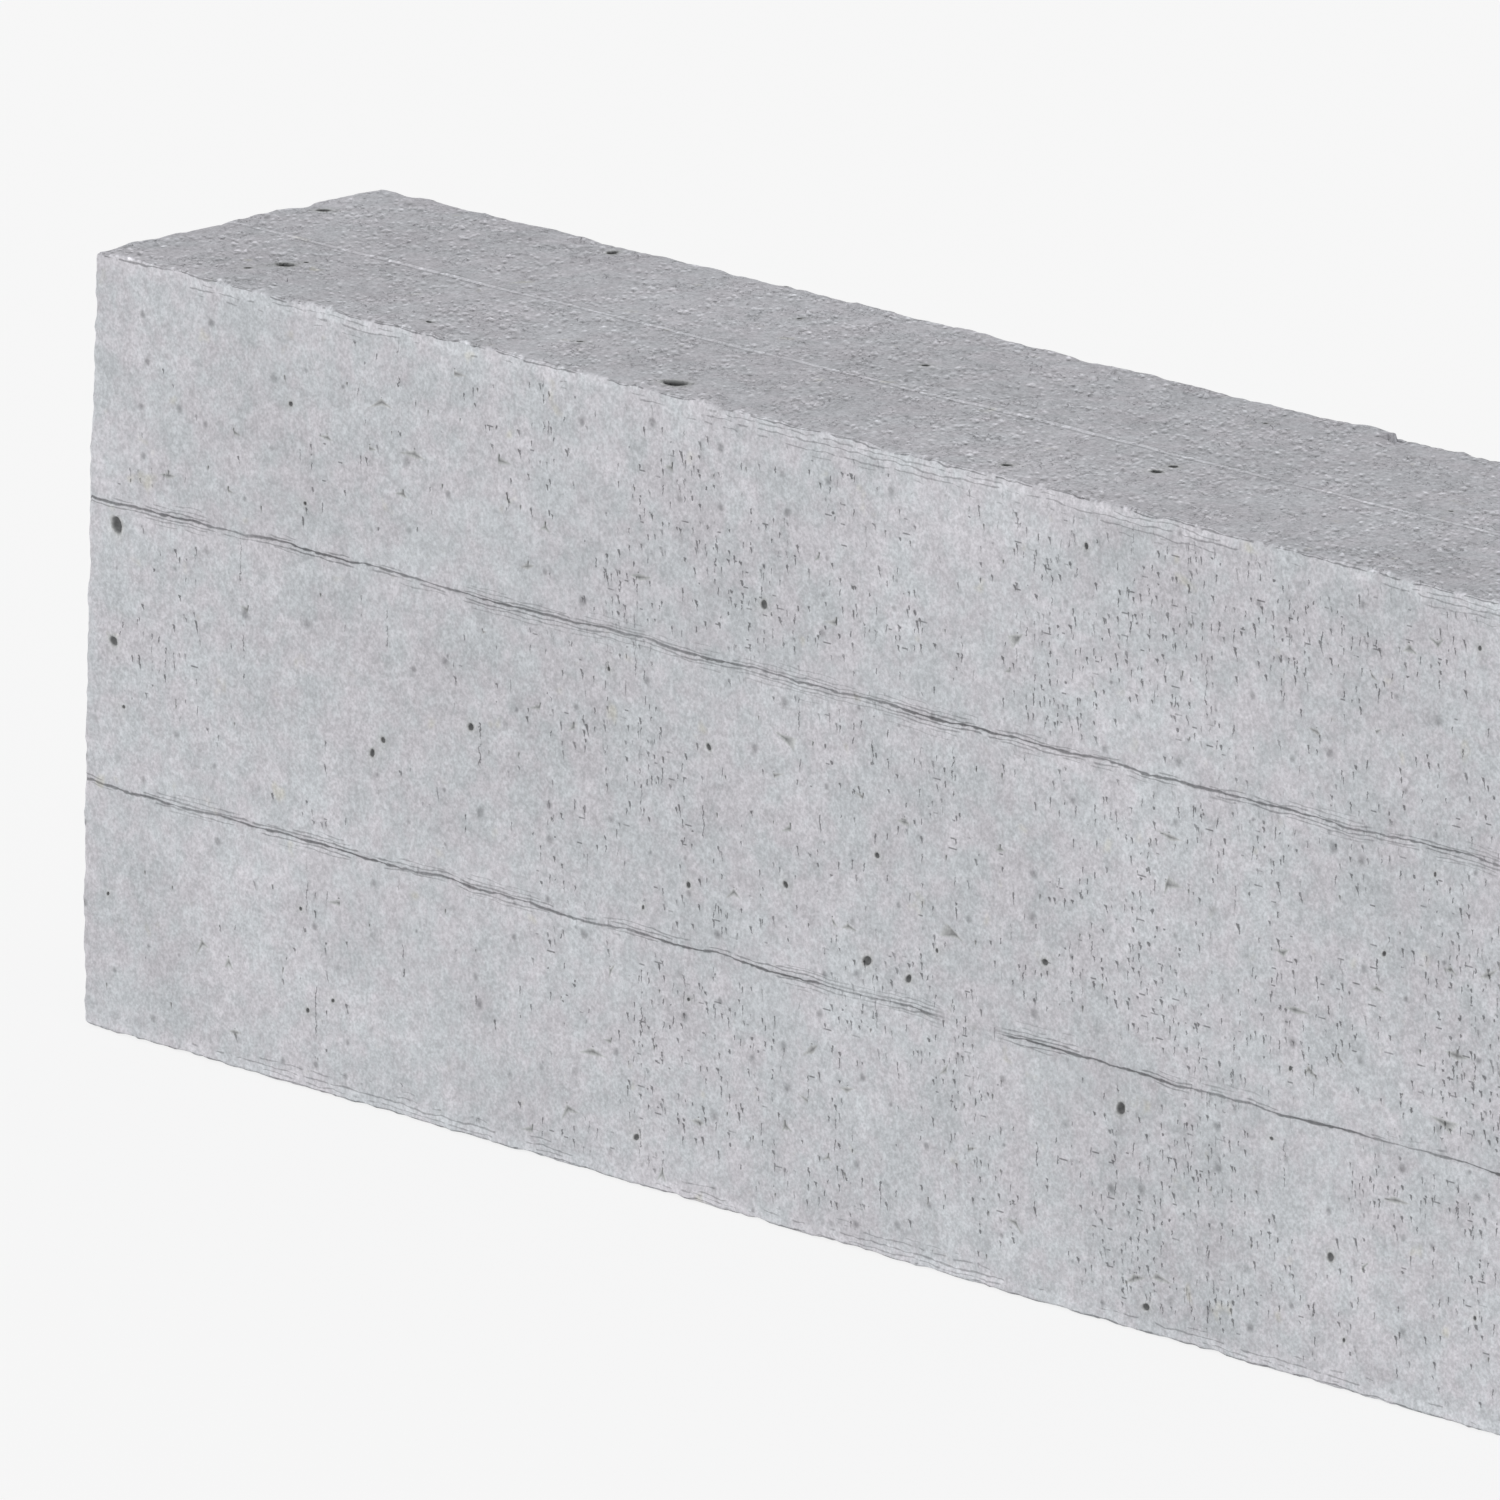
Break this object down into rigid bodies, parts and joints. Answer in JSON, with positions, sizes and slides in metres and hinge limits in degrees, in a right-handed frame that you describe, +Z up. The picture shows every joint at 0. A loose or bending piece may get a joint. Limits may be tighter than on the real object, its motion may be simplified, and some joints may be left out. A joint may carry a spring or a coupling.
{
  "type": "parking wheel stop",
  "caption": "Precast concrete kerb block with drafted ends and board-marked faces, a steel cage inside, and anchor pins that slide down out of its underside.",
  "frame": {"origin": "middle of the underside, on the ground", "axes": "+X along the block, -Y towards the parked wheel (the face with two board seams), +Z up"},
  "size_m": [1.7998, 0.15, 0.3],
  "materials": {
    "concrete": "matte",
    "rebar_steel": "matte",
    "galvanised_steel": "satin",
    "grey_plastic": "satin",
    "black_plastic": "satin"
  },
  "bodies": {
    "block": {"concrete_block": "concrete", "lower_bar_front": "rebar_steel", "lower_bar_rear": "rebar_steel", "upper_bar_front": "rebar_steel", "upper_bar_rear": "rebar_steel", "link_1": "rebar_steel", "link_2": "rebar_steel", "link_3": "rebar_steel", "link_4": "rebar_steel", "link_5": "rebar_steel", "link_6": "rebar_steel", "link_7": "rebar_steel", "link_8": "rebar_steel", "link_9": "rebar_steel", "link_10": "rebar_steel", "anchor_u_bar_left": "rebar_steel", "anchor_sleeve_left": "grey_plastic", "sleeve_cap_left": "black_plastic", "pin_guide_left": "black_plastic", "anchor_u_bar_right": "rebar_steel", "anchor_sleeve_right": "grey_plastic", "sleeve_cap_right": "black_plastic", "pin_guide_right": "black_plastic"},
    "pin_left": {"anchor_pin_left": "galvanised_steel"},
    "pin_right": {"anchor_pin_right": "galvanised_steel"}
  },
  "joints": [
    {"name": "pin_left_drop", "type": "slide", "parent": "block", "child": "pin_left", "axis": [0, 0, -1], "range_m": [0, 0.1]},
    {"name": "pin_right_drop", "type": "slide", "parent": "block", "child": "pin_right", "axis": [0, 0, -1], "range_m": [0, 0.1]}
  ]
}
